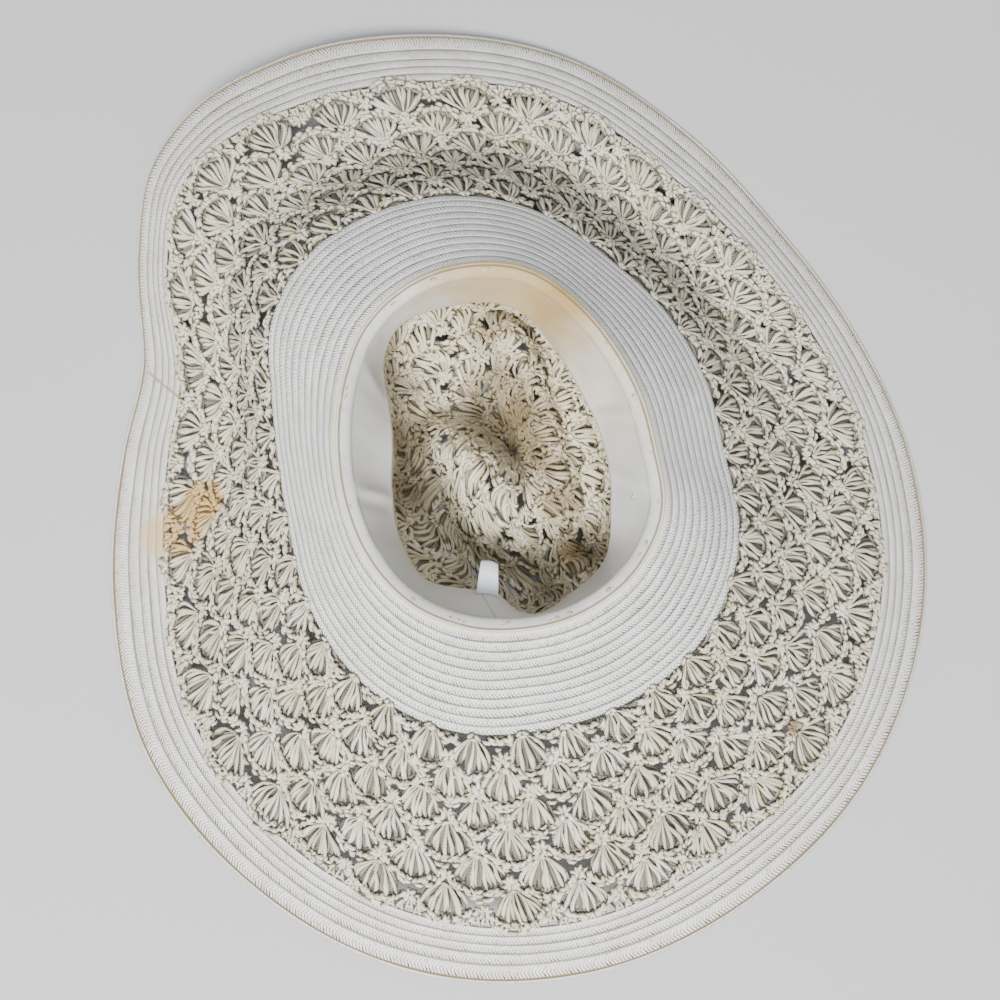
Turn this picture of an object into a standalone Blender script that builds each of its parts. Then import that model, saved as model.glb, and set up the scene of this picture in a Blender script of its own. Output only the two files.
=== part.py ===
# Floppy sun hat of sewn braid and crochet, lying upside down on its caved-in crown.
# Metres, +Z up. The hat is drawn about the middle of its head opening. A bearing is in
# degrees, anticlockwise from +X seen from above. The finished model stands on Z = 0 with
# its outline centred on the origin.
import math

import bpy
import numpy as np

# Head opening, measured inside the innermost row of braid
OPENING_LENGTH = 0.197
OPENING_WIDTH = 0.165
OPENING_HEADING = 112.0
OPENING_HEIGHT = 0.100

# Brim, measured along the cloth
INNER_BRAID_WIDTH = 0.056
CROCHET_WIDTH = 0.118
EDGE_BRAID_WIDTH = 0.036

# Wall thicknesses
INNER_BRAID_WALL = 0.0018
CROCHET_WALL = 0.003
EDGE_BRAID_WALL = 0.002
CROWN_WALL = 0.003
SWEATBAND_WALL = 0.0012
TAG_WALL = 0.001

# Sweatband and size tag. The tag's root is a share of the way up the sweatband
SWEATBAND_WIDTH = 0.037
TAG_WIDTH = 0.012
TAG_LENGTH = 0.018
TAG_BEARING = 266.0
TAG_ARCH = 0.005
TAG_UP = 0.2

# Open gaps between the crochet fans
FAN_COUNT = 36
GAP_WIDTH = 0.008
GAP_LENGTH = 0.009
GAP_TAPER = 0.45
GAP_ROUNDS = 3
CROWN_GAP_COUNT = 12
CROWN_GAP_WAY = 0.58

# Air between two pieces that are sewn together
SEAM_GAP = 0.0004
SWEATBAND_EASE = 0.0019

# How finely the pieces are divided
BRIM_COLUMNS = 2 * FAN_COUNT
CROWN_COLUMNS = 4 * CROWN_GAP_COUNT
SWEATBAND_COLUMNS = 96
BRAID_ROWS = 3
CROWN_ROWS = 22
SWEATBAND_ROWS = 2
TAG_ROWS = 4
TAG_COLUMNS = 3

# Lie of the brim, a row for each bearing. The opening is the head opening's radius as a
# share of the true oval's. The runs are the level reach of each band as a share of its own
# width. The heights are shares of the opening's height: at the seam between braid and
# crochet, half way over the crochet, at its outer seam and at the edge.
BRIM_LIE = np.array(
    [
        (0, 0.98, 0.80, 0.60, 0.26, 0.82, 0.14, 0.87, 0.02),
        (20, 0.97, 0.78, 0.60, 0.18, 0.70, 0.12, 0.77, 0.00),
        (40, 0.97, 0.76, 0.58, 0.12, 0.62, 0.14, 0.77, 0.00),
        (60, 0.99, 0.71, 0.57, 0.10, 0.63, 0.14, 0.90, 0.00),
        (80, 1.02, 0.75, 0.60, 0.14, 0.69, 0.16, 0.87, 0.04),
        (100, 1.00, 0.84, 0.66, 0.20, 0.71, 0.20, 0.93, 0.10),
        (120, 0.99, 0.91, 0.72, 0.28, 0.76, 0.30, 0.97, 0.20),
        (132, 0.99, 0.95, 0.77, 0.34, 0.80, 0.36, 0.90, 0.24),
        (140, 0.99, 0.95, 0.78, 0.34, 0.81, 0.34, 0.80, 0.20),
        (150, 0.98, 0.93, 0.76, 0.26, 0.72, 0.24, 0.75, 0.08),
        (165, 0.98, 0.78, 0.66, 0.12, 0.59, 0.12, 0.80, 0.00),
        (180, 0.99, 0.71, 0.60, 0.10, 0.66, 0.08, 0.88, 0.00),
        (200, 1.02, 0.71, 0.59, 0.20, 0.78, 0.08, 1.04, 0.03),
        (220, 1.05, 0.84, 0.66, 0.34, 0.89, 0.20, 1.06, 0.16),
        (240, 1.05, 0.95, 0.77, 0.50, 0.93, 0.36, 1.02, 0.32),
        (260, 1.01, 1.01, 0.88, 0.66, 0.96, 0.54, 1.02, 0.46),
        (280, 0.97, 0.99, 0.89, 0.68, 0.99, 0.56, 0.97, 0.48),
        (300, 0.98, 0.98, 0.86, 0.60, 0.93, 0.47, 0.98, 0.42),
        (320, 1.02, 0.95, 0.81, 0.50, 0.92, 0.34, 0.95, 0.24),
        (340, 1.04, 0.88, 0.71, 0.38, 0.86, 0.24, 0.97, 0.08),
    ],
    dtype=[
        ("bearing", float), ("opening", float), ("inner_run", float), ("inner_height", float),
        ("sag_height", float), ("crochet_run", float), ("crochet_height", float),
        ("edge_run", float), ("edge_height", float),
    ],
)

# How far the wall leans in below the opening, as shares of the sweatband's width
WALL_LEAN = np.array(
    [
        (0, 0.44, 0.44),
        (40, 0.46, 0.46),
        (65, 0.38, 0.38),
        (85, 0.22, 0.22),
        (110, 0.14, 0.14),
        (130, 0.02, 0.02),
        (142, 0.16, 0.16),
        (154, 0.40, 0.40),
        (200, 0.44, 0.44),
        (220, 0.28, 0.28),
        (240, 0.14, 0.14),
        (258, 0.28, 0.14),
        (270, 0.28, 0.08),
        (277, 0.00, 0.00),
        (300, 0.06, 0.06),
        (315, 0.16, 0.16),
        (335, 0.50, 0.50),
    ],
    dtype=[("bearing", float), ("band", float), ("crown", float)],
)

# The crown from its tip out to its rim: how far along, the reach as a share of the wall's
# radius and the height as a share of the opening's height
CROWN_PROFILE = np.array(
    [
        (0.00, 0.00, -0.10),
        (0.40, 0.76, -0.08),
        (0.49, 0.90, 0.00),
        (0.58, 0.97, 0.13),
        (0.70, 1.00, 0.36),
        (0.83, 1.00, 0.63),
        (1.00, 1.00, 1.01),
    ],
    dtype=[("way", float), ("reach", float), ("height", float)],
)

# Where the crown's tip lies, as shares of half the opening's width and length
CROWN_TIP = (0.11, 0.03)

# How sharply a fold falls away from its rounded top
FOLD_STEEPNESS = 1.6

# Dents and folds of the crown: the middle as shares of half the opening's width and
# length, the heading in degrees, the half length and half width as shares of half the
# opening's width, and the height as a share of the opening's height
CROWN_FOLDS = np.array(
    [
        (0.00, -0.29, -54, 0.52, 0.30, 0.60),
        (-0.34, 0.08, -34, 0.26, 0.18, 0.34),
        (-0.46, 0.72, -12, 0.62, 0.42, 0.44),
        (0.50, 0.06, -76, 0.88, 0.28, 0.50),
        (0.14, 0.52, -71, 0.46, 0.15, 0.30),
        (0.40, -0.20, -77, 0.52, 0.15, 0.18),
        (0.58, -0.76, -40, 0.26, 0.17, 0.34),
        (-0.56, -0.62, 128, 0.52, 0.26, 0.24),
    ],
    dtype=[
        ("x", float), ("y", float), ("heading", float),
        ("length", float), ("width", float), ("height", float),
    ],
)


def smooth_through(knots, values, at):
    """Smooth curve through the knots, read at the given places.

    A value may be one number for each knot, or an array of them that matches the places.
    """
    values = np.asarray(values)
    if values.ndim == 1:
        values = values.reshape((-1,) + (1,) * at.ndim)
    values = np.broadcast_to(values, (len(knots),) + at.shape)
    step = np.diff(knots).reshape((-1,) + (1,) * at.ndim)
    chord = np.diff(values, axis=0) / step
    inner = (chord[:-1] * step[1:] + chord[1:] * step[:-1]) / (step[:-1] + step[1:])
    slope = np.concatenate([chord[:1], inner, chord[-1:]])
    index = np.clip(np.searchsorted(knots, at, side="right") - 1, 0, len(knots) - 2)[None]
    start, end = (np.take_along_axis(values, index + side, axis=0)[0] for side in (0, 1))
    rise, fall = (np.take_along_axis(slope, index + side, axis=0)[0] for side in (0, 1))
    length = np.diff(knots)[index[0]]
    part = (at - knots[index[0]]) / length
    return (
        start * (1 + 2 * part) * (1 - part) ** 2 + rise * length * part * (1 - part) ** 2
        + end * part ** 2 * (3 - 2 * part) + fall * length * part ** 2 * (part - 1)
    )


def around(table, name, bearing):
    """Column of a table with a row for each bearing, read smoothly all the way round."""
    knots = table["bearing"]
    knots = np.concatenate([knots[-2:] - 360, knots, knots[:2] + 360])
    values = np.concatenate([table[name][-2:], table[name], table[name][:2]])
    return smooth_through(knots, values, np.mod(bearing, 360.0))


def opening_radius(bearing):
    """Radius of the head opening at a bearing, an oval that has gone a little square."""
    turn = np.radians(bearing - OPENING_HEADING)
    oval = 1 / np.hypot(np.cos(turn) / (OPENING_LENGTH / 2), np.sin(turn) / (OPENING_WIDTH / 2))
    return oval * around(BRIM_LIE, "opening", bearing)


def polar(radius, bearing, height):
    """Points at a radius, a bearing and a height, as rows of X, Y and Z."""
    turn = np.radians(bearing)
    return np.stack([radius * np.cos(turn), radius * np.sin(turn), height], axis=-1)


def brim_middle(along, bearing, wall):
    """Middle of the brim's wall, at a distance along the cloth from the opening."""
    lie = {name: around(BRIM_LIE, name, bearing) for name in BRIM_LIE.dtype.names[1:]}
    opening = np.zeros_like(bearing)
    inner = lie["inner_run"] * INNER_BRAID_WIDTH
    crochet = inner + lie["crochet_run"] * CROCHET_WIDTH
    edge = crochet + lie["edge_run"] * EDGE_BRAID_WIDTH
    widths = [0, INNER_BRAID_WIDTH, CROCHET_WIDTH / 2, CROCHET_WIDTH / 2, EDGE_BRAID_WIDTH]
    seams = np.cumsum(widths)
    runs = np.stack([opening, inner, (inner + crochet) / 2, crochet, edge])
    heights = OPENING_HEIGHT * np.stack(
        [opening + 1, lie["inner_height"], lie["sag_height"], lie["crochet_height"], lie["edge_height"]]
    )
    run = smooth_through(seams, runs, along)
    height = smooth_through(seams, heights, along)
    return polar(opening_radius(bearing) + run, bearing, np.maximum(height, wall / 2))


def wall_radius(bearing, height, lean):
    """Radius of the leaning wall below the opening, at a height, before any clearance."""
    reach = lean * SWEATBAND_WIDTH
    drop = np.sqrt(SWEATBAND_WIDTH ** 2 - reach ** 2)
    part = np.clip((OPENING_HEIGHT - height) / drop, 0, 1)
    return opening_radius(bearing) - reach * part


# The crown's rim stands just inside the inner braid, and the sweatband inside the crown,
# with some ease because both lean in
CROWN_INSET = SEAM_GAP + CROWN_WALL / 2
SWEATBAND_INSET = CROWN_INSET + CROWN_WALL / 2 + SWEATBAND_WALL / 2 + SWEATBAND_EASE


def fold_lift(x, y):
    """Height that the folds add at a place, each a long mound with a rounded top."""
    lift = np.zeros_like(x)
    for fold in CROWN_FOLDS:
        turn = math.radians(fold["heading"])
        east = x - fold["x"] * OPENING_WIDTH / 2
        north = y - fold["y"] * OPENING_LENGTH / 2
        length = (east * math.cos(turn) + north * math.sin(turn)) / (fold["length"] * OPENING_WIDTH / 2)
        width = (north * math.cos(turn) - east * math.sin(turn)) / (fold["width"] * OPENING_WIDTH / 2)
        lift += fold["height"] * np.exp(-((length ** 2 + width ** 2) ** FOLD_STEEPNESS))
    return lift * OPENING_HEIGHT


def crown_middle(way, bearing):
    """Middle of the crown's wall, from the tip at 0 to the rim at 1."""
    reach = np.clip(smooth_through(CROWN_PROFILE["way"], CROWN_PROFILE["reach"], way), 0, 1)
    height = smooth_through(CROWN_PROFILE["way"], CROWN_PROFILE["height"], way) * OPENING_HEIGHT
    lean = np.minimum(around(WALL_LEAN, "crown", bearing), around(WALL_LEAN, "band", bearing))
    radius = reach * (wall_radius(bearing, height, lean) - CROWN_INSET)
    point = polar(radius, bearing, height)
    point[..., 0] += (1 - reach) * CROWN_TIP[0] * OPENING_WIDTH / 2
    point[..., 1] += (1 - reach) * CROWN_TIP[1] * OPENING_LENGTH / 2
    free = np.clip(1 - height / (OPENING_HEIGHT - SWEATBAND_WIDTH), 0, 1)
    point[..., 2] += free * fold_lift(point[..., 0], point[..., 1])
    point[..., 2] = np.maximum(point[..., 2], CROWN_WALL / 2)
    return point


def sweatband_middle(up, bearing):
    """Middle of the sweatband, from its lower edge at 0 to the seam at 1."""
    lean = around(WALL_LEAN, "band", bearing)
    drop = SWEATBAND_WIDTH * np.sqrt(1 - lean ** 2)
    height = OPENING_HEIGHT - drop * (1 - up)
    return polar(wall_radius(bearing, height, lean) - SWEATBAND_INSET, bearing, height)


def tag_middle(root, bearing):
    """Middle of the size tag, from its free end at 0 to its root on the sweatband at 1."""
    height = sweatband_middle(np.full_like(bearing, TAG_UP), bearing)[..., 2]
    foot = sweatband_middle(np.full_like(bearing, TAG_UP - TAG_WALL / SWEATBAND_WIDTH), bearing)
    radius = np.hypot(foot[..., 0], foot[..., 1]) - SWEATBAND_WALL / 2 - SEAM_GAP
    arch = TAG_ARCH * np.sin(math.pi * root) * (1 - root)
    return polar(radius - TAG_LENGTH * (1 - root), bearing, height + arch)


def shell(middle, along, bearing, wall, gaps=(), closed_round=True, closed_tip=False):
    """Wall of even thickness about a surface that is given on a grid, as points and faces.

    The grid runs along the surface in its rows and round it in its columns. A cell named
    in gaps is left open and gets its own side walls. A closed tip fills the first row in.
    """
    step = 1e-4
    across = middle(along + step, bearing) - middle(along - step, bearing)
    around_it = middle(along, bearing + step) - middle(along, bearing - step)
    normal = np.cross(across, around_it)
    normal /= np.linalg.norm(normal, axis=-1, keepdims=True)
    centre = middle(along, bearing)
    upper_side = (centre + normal * wall / 2).reshape(-1, 3)
    lower_side = (centre - normal * wall / 2).reshape(-1, 3)
    rows, columns = along.shape
    lower = rows * columns
    tips = [upper_side[:columns].mean(axis=0), lower_side[:columns].mean(axis=0)] if closed_tip else []
    points = np.vstack([upper_side, lower_side, *tips])
    edges = set()
    faces = []
    for row in range(rows - 1):
        for column in range(columns if closed_round else columns - 1):
            if (row, column) in gaps:
                continue
            after = (column + 1) % columns
            cell = [
                row * columns + column, (row + 1) * columns + column,
                (row + 1) * columns + after, row * columns + after,
            ]
            faces.append(cell)
            faces.append([lower + place for place in reversed(cell)])
            edges.update(zip(cell, cell[1:] + cell[:1]))
    for start, end in sorted(edges):
        if (end, start) in edges:
            continue
        if closed_tip and max(start, end) < columns:
            faces.append([2 * lower, end, start])
            faces.append([2 * lower + 1, lower + start, lower + end])
        else:
            faces.append([start, lower + start, lower + end, end])
    return points, faces


def grid(lines, columns):
    """Even grid: a row for each line, and columns all the way round."""
    bearing = np.arange(columns) * 360.0 / columns
    return np.meshgrid(lines, bearing, indexing="ij")


def narrow_gaps(radius, bearing, rows, first_columns, every):
    """Draw the two sides of each open cell together, so that a gap has its own width."""
    bearing = bearing.copy()
    columns = bearing.shape[1]
    pitch = 360.0 / columns
    for row, first in zip(rows, first_columns):
        for line, width in ((row, GAP_WIDTH), (row + 1, GAP_WIDTH * GAP_TAPER)):
            for column in range(first, columns, every):
                after = (column + 1) % columns
                shift = (pitch - math.degrees(width / radius[line, column])) / 2
                bearing[line, column] += shift
                bearing[line, after] -= shift
    return bearing


def inner_braid():
    """Sewn braid between the head opening and the crochet."""
    along, bearing = grid(np.linspace(0, INNER_BRAID_WIDTH, BRAID_ROWS + 1), BRIM_COLUMNS)
    return shell(lambda a, b: brim_middle(a, b, INNER_BRAID_WALL), along, bearing, INNER_BRAID_WALL)


def crochet_brim():
    """Crochet band with a ring of open gaps at the foot of every second round of fans."""
    start = INNER_BRAID_WIDTH + SEAM_GAP
    width = CROCHET_WIDTH - SEAM_GAP
    lines = [start]
    for turn in range(GAP_ROUNDS):
        middle = start + (turn + 0.5) * width / GAP_ROUNDS
        lines += [middle - GAP_LENGTH / 2, middle + GAP_LENGTH / 2, start + (turn + 1) * width / GAP_ROUNDS]
    rows = range(1, len(lines), 3)
    along, bearing = grid(np.array(lines), BRIM_COLUMNS)
    level = brim_middle(along, bearing, CROCHET_WALL)
    radius = np.hypot(level[..., 0], level[..., 1])
    first = [place % 2 for place in range(len(rows))]
    bearing = narrow_gaps(radius, bearing, rows, first, 2)
    gaps = {(row, column) for row, start in zip(rows, first) for column in range(start, BRIM_COLUMNS, 2)}
    return shell(lambda a, b: brim_middle(a, b, CROCHET_WALL), along, bearing, CROCHET_WALL, gaps)


def edge_braid():
    """Sewn braid round the outside of the brim."""
    start = INNER_BRAID_WIDTH + CROCHET_WIDTH
    lines = np.linspace(start + SEAM_GAP, start + EDGE_BRAID_WIDTH, BRAID_ROWS + 1)
    along, bearing = grid(lines, BRIM_COLUMNS)
    return shell(lambda a, b: brim_middle(a, b, EDGE_BRAID_WALL), along, bearing, EDGE_BRAID_WALL)


def crown():
    """Crochet crown, pushed in from the top, with a few open gaps in its wall."""
    lines = np.linspace(0, 1, CROWN_ROWS + 1)[1:]
    along, bearing = grid(lines, CROWN_COLUMNS)
    gap_row = int(np.searchsorted(lines, CROWN_GAP_WAY))
    level = crown_middle(along, bearing)
    radius = np.hypot(level[..., 0], level[..., 1])
    every = CROWN_COLUMNS // CROWN_GAP_COUNT
    bearing = narrow_gaps(radius, bearing, [gap_row], [0], every)
    gaps = {(gap_row, column) for column in range(0, CROWN_COLUMNS, every)}
    return shell(crown_middle, along, bearing, CROWN_WALL, gaps, closed_tip=True)


def sweatband():
    """Cloth band sewn inside the head opening."""
    up, bearing = grid(np.linspace(0, 1, SWEATBAND_ROWS + 1), SWEATBAND_COLUMNS)
    return shell(sweatband_middle, up, bearing, SWEATBAND_WALL)


def size_tag():
    """Small bare tag that stands out from the sweatband."""
    edge = sweatband_middle(np.zeros(1), np.full(1, TAG_BEARING))[0]
    half = math.degrees(TAG_WIDTH / 2 / math.hypot(edge[0], edge[1]))
    bearing = np.linspace(TAG_BEARING - half, TAG_BEARING + half, TAG_COLUMNS + 1)
    root, bearing = np.meshgrid(np.linspace(0, 1, TAG_ROWS + 1), bearing, indexing="ij")
    return shell(tag_middle, root, bearing, TAG_WALL, closed_round=False)


def material(name, colour, roughness):
    """Plain cloth or straw finish."""
    finish = bpy.data.materials.new(name)
    finish.use_nodes = True
    shader = finish.node_tree.nodes["Principled BSDF"]
    shader.inputs["Base Color"].default_value = (*colour, 1.0)
    shader.inputs["Roughness"].default_value = roughness
    shader.inputs["Metallic"].default_value = 0.0
    return finish


def add_piece(name, points, faces, finish, sharp_angle):
    """One named object, shaded smooth but for its edges."""
    mesh = bpy.data.meshes.new(name)
    mesh.from_pydata(points.tolist(), [], faces)
    mesh.validate()
    mesh.materials.append(finish)
    mesh.shade_smooth()
    mesh.set_sharp_from_angle(angle=math.radians(sharp_angle))
    piece = bpy.data.objects.new(name, mesh)
    bpy.context.scene.collection.objects.link(piece)
    return piece


def build_hat():
    """Make every piece, centred on the outline of the brim's edge."""
    straw = material("straw braid", (0.62, 0.59, 0.52), 0.75)
    crochet = material("cotton crochet", (0.66, 0.61, 0.50), 0.85)
    cloth = material("cotton cloth", (0.56, 0.55, 0.50), 0.80)
    label = material("woven label", (0.66, 0.68, 0.74), 0.60)
    pieces = {
        "crown": (crown(), crochet),
        "sweatband": (sweatband(), cloth),
        "size_tag": (size_tag(), label),
        "inner_braid": (inner_braid(), straw),
        "crochet_brim": (crochet_brim(), crochet),
        "edge_braid": (edge_braid(), straw),
    }
    outline = pieces["edge_braid"][0][0]
    middle = (outline.min(axis=0) + outline.max(axis=0)) / 2
    for name, ((points, faces), finish) in pieces.items():
        points = points - (middle[0], middle[1], 0)
        add_piece(name, points, faces, finish, 50)


for thing in list(bpy.data.objects):
    bpy.data.objects.remove(thing, do_unlink=True)
build_hat()
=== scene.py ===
# Floppy sun hat of sewn braid and fan crochet, lying upside down on its pushed-in crown.
# Metres, +Z up, in the CAD model's frame. A bearing is in degrees, anticlockwise from +X
# seen from above. A surface is a function of two numbers, and yarn, braid and cloth are
# laid on it at a lift above or below its middle.
import math
from functools import partial

import bpy
import numpy as np
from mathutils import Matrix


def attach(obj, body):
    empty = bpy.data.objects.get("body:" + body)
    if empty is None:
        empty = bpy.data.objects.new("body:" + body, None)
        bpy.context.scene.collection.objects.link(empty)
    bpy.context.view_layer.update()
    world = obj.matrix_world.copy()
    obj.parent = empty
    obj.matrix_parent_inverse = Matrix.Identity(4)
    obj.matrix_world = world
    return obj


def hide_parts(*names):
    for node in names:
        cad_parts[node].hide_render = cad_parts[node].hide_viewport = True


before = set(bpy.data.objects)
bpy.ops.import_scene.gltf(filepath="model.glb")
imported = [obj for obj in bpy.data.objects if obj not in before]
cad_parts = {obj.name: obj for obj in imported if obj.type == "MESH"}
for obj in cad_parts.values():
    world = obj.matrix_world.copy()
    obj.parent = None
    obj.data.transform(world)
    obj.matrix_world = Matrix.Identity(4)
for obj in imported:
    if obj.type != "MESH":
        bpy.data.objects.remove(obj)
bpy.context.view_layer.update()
print("frame loaded:", sorted(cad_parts))

# Sizes of the hat and the lie of its brim, the same as in the CAD source
hat = {
    "openingLength": 0.197,
    "openingWidth": 0.165,
    "openingHeading": 112.0,
    "openingHeight": 0.100,
    "ringWidth": 0.056,  # sewn braid next to the opening
    "crochetWidth": 0.118,
    "edgeWidth": 0.036,  # sewn braid round the outside
    "crownWall": 0.003,
    "crochetWall": 0.003,
    "edgeWall": 0.002,
    "seamGap": 0.0004,
    "offFloor": 0.0002,
}
band = {"width": 0.037, "wall": 0.0012, "ease": 0.0019, "flat": 0.95}  # flat share below the roll
tag = {
    "width": 0.012,
    "length": 0.018,
    "flat": 0.0205,  # its length along the arch, with the root
    "wall": 0.001,
    "tape": 0.0006,
    "bearing": 266.0,
    "arch": 0.005,
    "up": 0.2,
}


# Table whose columns are named
def asTable(names, rows):
    return np.array(rows, dtype=[(name, float) for name in names.split()])


brimColumns = "bearing opening ringRun ringHeight sagHeight crochetRun crochetHeight edgeRun edgeHeight"
brimLie = asTable(brimColumns, [
    (0, 0.98, 0.80, 0.60, 0.26, 0.82, 0.14, 0.87, 0.02),
    (20, 0.97, 0.78, 0.60, 0.18, 0.70, 0.12, 0.77, 0.00),
    (40, 0.97, 0.76, 0.58, 0.12, 0.62, 0.14, 0.77, 0.00),
    (60, 0.99, 0.71, 0.57, 0.10, 0.63, 0.14, 0.90, 0.00),
    (80, 1.02, 0.75, 0.60, 0.14, 0.69, 0.16, 0.87, 0.04),
    (100, 1.00, 0.84, 0.66, 0.20, 0.71, 0.20, 0.93, 0.10),
    (120, 0.99, 0.91, 0.72, 0.28, 0.76, 0.30, 0.97, 0.20),
    (132, 0.99, 0.95, 0.77, 0.34, 0.80, 0.36, 0.90, 0.24),
    (140, 0.99, 0.95, 0.78, 0.34, 0.81, 0.34, 0.80, 0.20),
    (150, 0.98, 0.93, 0.76, 0.26, 0.72, 0.24, 0.75, 0.08),
    (165, 0.98, 0.78, 0.66, 0.12, 0.59, 0.12, 0.80, 0.00),
    (180, 0.99, 0.71, 0.60, 0.10, 0.66, 0.08, 0.88, 0.00),
    (200, 1.02, 0.71, 0.59, 0.20, 0.78, 0.08, 1.04, 0.03),
    (220, 1.05, 0.84, 0.66, 0.34, 0.89, 0.20, 1.06, 0.16),
    (240, 1.05, 0.95, 0.77, 0.50, 0.93, 0.36, 1.02, 0.32),
    (260, 1.01, 1.01, 0.88, 0.66, 0.96, 0.54, 1.02, 0.46),
    (280, 0.97, 0.99, 0.89, 0.68, 0.99, 0.56, 0.97, 0.48),
    (300, 0.98, 0.98, 0.86, 0.60, 0.93, 0.47, 0.98, 0.42),
    (320, 1.02, 0.95, 0.81, 0.50, 0.92, 0.34, 0.95, 0.24),
    (340, 1.04, 0.88, 0.71, 0.38, 0.86, 0.24, 0.97, 0.08),
])

wallLean = asTable("bearing band crown", [
    (0, 0.44, 0.44), (40, 0.46, 0.46), (65, 0.38, 0.38), (85, 0.22, 0.22), (110, 0.14, 0.14),
    (130, 0.02, 0.02), (142, 0.16, 0.16), (154, 0.40, 0.40), (200, 0.44, 0.44),
    (220, 0.28, 0.28), (240, 0.14, 0.14), (258, 0.28, 0.14), (270, 0.28, 0.08),
    (277, 0.00, 0.00), (300, 0.06, 0.06), (315, 0.16, 0.16), (335, 0.50, 0.50),
])

crownProfile = asTable("way reach height", [
    (0.00, 0.00, -0.10), (0.40, 0.76, -0.08), (0.49, 0.90, 0.00), (0.58, 0.97, 0.13),
    (0.70, 1.00, 0.36), (0.83, 1.00, 0.63), (1.00, 1.00, 1.01),
])
crownTip = (0.11, 0.03)
foldSteepness = 1.6
crownFolds = asTable("x y heading length width height", [
    (0.00, -0.29, -54, 0.52, 0.30, 0.60),
    (-0.34, 0.08, -34, 0.26, 0.18, 0.34),
    (-0.46, 0.72, -12, 0.62, 0.42, 0.44),
    (0.50, 0.06, -76, 0.88, 0.28, 0.50),
    (0.14, 0.52, -71, 0.46, 0.15, 0.30),
    (0.40, -0.20, -77, 0.52, 0.15, 0.18),
    (0.58, -0.76, -40, 0.26, 0.17, 0.34),
    (-0.56, -0.62, 128, 0.52, 0.26, 0.24),
])

chance = np.random.default_rng(41)


# Smooth curve through the knots: a cubic between each two, whose slopes are the means of
# the chords on both sides
def smoothThrough(knots, values, at):
    values = np.asarray(values)
    if values.ndim == 1:
        values = values.reshape((-1,) + (1,) * at.ndim)
    values = np.broadcast_to(values, (len(knots),) + at.shape)
    step = np.diff(knots).reshape((-1,) + (1,) * at.ndim)
    chord = np.diff(values, axis=0) / step
    inner = (chord[:-1] * step[1:] + chord[1:] * step[:-1]) / (step[:-1] + step[1:])
    slope = np.concatenate([chord[:1], inner, chord[-1:]])
    index = np.clip(np.searchsorted(knots, at, side="right") - 1, 0, len(knots) - 2)[None]
    start, end = (np.take_along_axis(values, index + side, axis=0)[0] for side in (0, 1))
    rise, fall = (np.take_along_axis(slope, index + side, axis=0)[0] for side in (0, 1))
    length = np.diff(knots)[index[0]]
    part = (at - knots[index[0]]) / length
    return (
        start * (1 + 2 * part) * (1 - part) ** 2 + rise * length * part * (1 - part) ** 2
        + end * part ** 2 * (3 - 2 * part) + fall * length * part ** 2 * (part - 1)
    )


# A table's column read at any bearing, the table being carried on past both its ends
def aroundTable(table, name, bearing):
    knots = table["bearing"]
    knots = np.concatenate([knots[-2:] - 360, knots, knots[:2] + 360])
    values = np.concatenate([table[name][-2:], table[name], table[name][:2]])
    return smoothThrough(knots, values, np.mod(bearing, 360.0))


# The opening's radius: an oval turned to its heading, times the table's share
def openingRadius(bearing):
    turn = np.radians(bearing - hat["openingHeading"])
    oval = 1 / np.hypot(
        np.cos(turn) / (hat["openingLength"] / 2), np.sin(turn) / (hat["openingWidth"] / 2)
    )
    return oval * aroundTable(brimLie, "opening", bearing)


def polarPoint(radius, bearing, height):
    turn = np.radians(bearing)
    return np.stack([radius * np.cos(turn), radius * np.sin(turn), height], axis=-1)


# The brim: run and height follow smooth curves through the seams, at a distance along
# the cloth from the opening, and the height never falls below half the wall
def brimRaw(along, bearing, wall=hat["crochetWall"]):
    lie = {name: aroundTable(brimLie, name, bearing) for name in brimLie.dtype.names[1:]}
    opening = np.zeros_like(bearing)
    ring = lie["ringRun"] * hat["ringWidth"]
    outer = ring + lie["crochetRun"] * hat["crochetWidth"]
    rim = outer + lie["edgeRun"] * hat["edgeWidth"]
    half = hat["crochetWidth"] / 2
    seams = np.cumsum([0, hat["ringWidth"], half, half, hat["edgeWidth"]])
    run = smoothThrough(seams, np.stack([opening, ring, (ring + outer) / 2, outer, rim]), along)
    heights = [opening + 1] + [lie[name] for name in lie if name.endswith("Height")]
    height = smoothThrough(seams, hat["openingHeight"] * np.stack(heights), along)
    return polarPoint(openingRadius(bearing) + run, bearing, np.maximum(height, wall / 2))


# The leaning wall below the opening: its radius shrinks evenly over the sweatband's drop
def wallRadius(bearing, height, lean):
    reach = lean * band["width"]
    drop = np.sqrt(band["width"] ** 2 - reach ** 2)
    part = np.clip((hat["openingHeight"] - height) / drop, 0, 1)
    return openingRadius(bearing) - reach * part


crownInset = hat["seamGap"] + hat["crownWall"] / 2
bandInset = crownInset + hat["crownWall"] / 2 + band["wall"] / 2 + band["ease"]


# Height that the folds add: each is a long mound, its height times e to the minus power
# of the distance from its middle
def foldLift(x, y):
    lift = np.zeros_like(x)
    wide = hat["openingWidth"] / 2
    for fold in crownFolds:
        turn = math.radians(fold["heading"])
        east = x - fold["x"] * wide
        north = y - fold["y"] * hat["openingLength"] / 2
        length = (east * math.cos(turn) + north * math.sin(turn)) / (fold["length"] * wide)
        width = (north * math.cos(turn) - east * math.sin(turn)) / (fold["width"] * wide)
        lift += fold["height"] * np.exp(-((length ** 2 + width ** 2) ** foldSteepness))
    return lift * hat["openingHeight"]


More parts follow.
